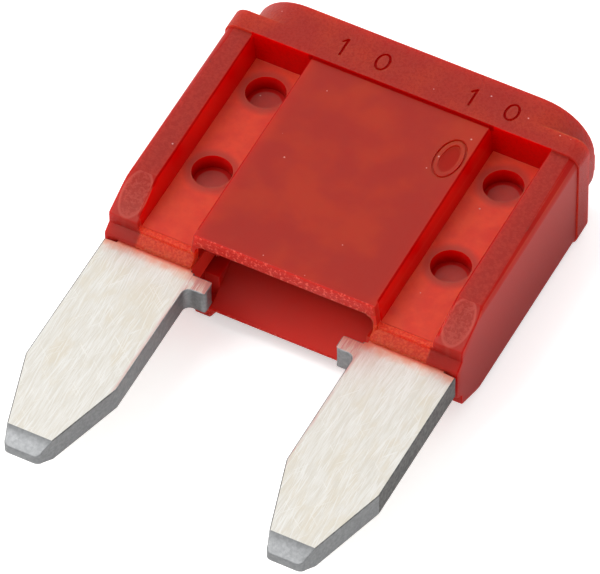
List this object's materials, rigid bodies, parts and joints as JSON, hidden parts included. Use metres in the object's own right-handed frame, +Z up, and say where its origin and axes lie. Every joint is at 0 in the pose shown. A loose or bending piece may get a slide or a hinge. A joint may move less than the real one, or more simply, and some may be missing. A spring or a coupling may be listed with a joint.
{
  "type": "automotive blade fuse",
  "caption": "Miniature plug-in vehicle fuse: flat metal blades joined by an S-shaped fuse link, staked into a translucent red plastic housing with a wider grip head.",
  "frame": {"origin": "on the surface that the fuse lies on, below the centre of its bounding box", "axes": "+X across the blades, +Y from the blade tips to the head, +Z up, out of the housing's front face"},
  "size_m": [0.011, 0.0164, 0.0038],
  "materials": {
    "housing": "translucent red plastic, satin on the outer faces and glossy in the channels",
    "fuse_element": "bright tin-coloured metal, brushed along the blades, grey on the sheared edges"
  },
  "bodies": {
    "root": {"housing": "housing", "fuse_element": "fuse_element"}
  },
  "joints": []
}
